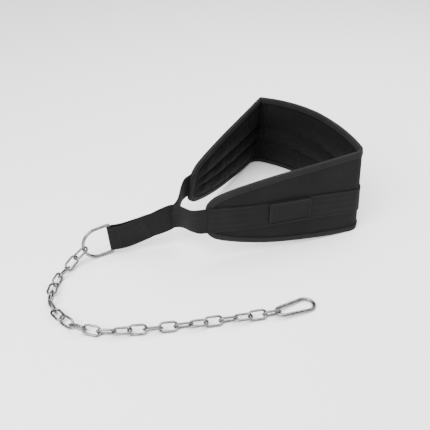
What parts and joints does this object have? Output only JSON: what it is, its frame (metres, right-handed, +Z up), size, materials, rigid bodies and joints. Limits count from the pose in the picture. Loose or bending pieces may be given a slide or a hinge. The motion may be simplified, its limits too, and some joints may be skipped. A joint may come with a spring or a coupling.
{
  "type": "dip belt",
  "caption": "Padded weight-lifting dip belt standing open on its lower edge, with a joined strap, a D-ring, a short link chain and a spring snap hook.",
  "frame": {"origin": "on the floor, under the outer face at the middle of the belt's length", "axes": "+Z up from the floor along the belt's height, -Y towards the side of the belt that carries the label, -X towards the strap and the D-ring"},
  "size_m": [0.5313, 0.5713, 0.1674],
  "materials": {
    "pad_fabric": "matt woven cover over padding",
    "binding_tape": "ribbed tape",
    "webbing": "flat woven webbing",
    "label": "matt moulded patch",
    "zinc_steel": "bright zinc plating"
  },
  "bodies": {
    "belt": {"belt_pad": "pad_fabric", "edge_binding": "binding_tape", "outer_webbing": "webbing", "label_patch": "label", "pull_strap": "webbing", "d_ring": "zinc_steel", "link_01": "zinc_steel", "link_02": "zinc_steel", "link_03": "zinc_steel", "link_04": "zinc_steel", "link_05": "zinc_steel", "link_06": "zinc_steel", "link_07": "zinc_steel", "link_08": "zinc_steel", "link_09": "zinc_steel", "link_10": "zinc_steel", "link_11": "zinc_steel", "link_12": "zinc_steel", "link_13": "zinc_steel", "link_14": "zinc_steel", "link_15": "zinc_steel", "link_16": "zinc_steel", "link_17": "zinc_steel", "link_18": "zinc_steel", "link_19": "zinc_steel", "link_20": "zinc_steel", "link_21": "zinc_steel", "link_22": "zinc_steel", "link_23": "zinc_steel", "snap_hook": "zinc_steel"},
    "gate": {"snap_gate": "zinc_steel"}
  },
  "joints": [
    {"name": "gate_hinge", "type": "hinge", "parent": "belt", "child": "gate", "pos_m": [-0.09529, -0.41118, 0.0059], "axis": [0.0597, 0.0309, 0.9977], "range_deg": [0, 25], "stiffness_Nm_per_rad": 0.01, "springref_deg": -5.73}
  ]
}
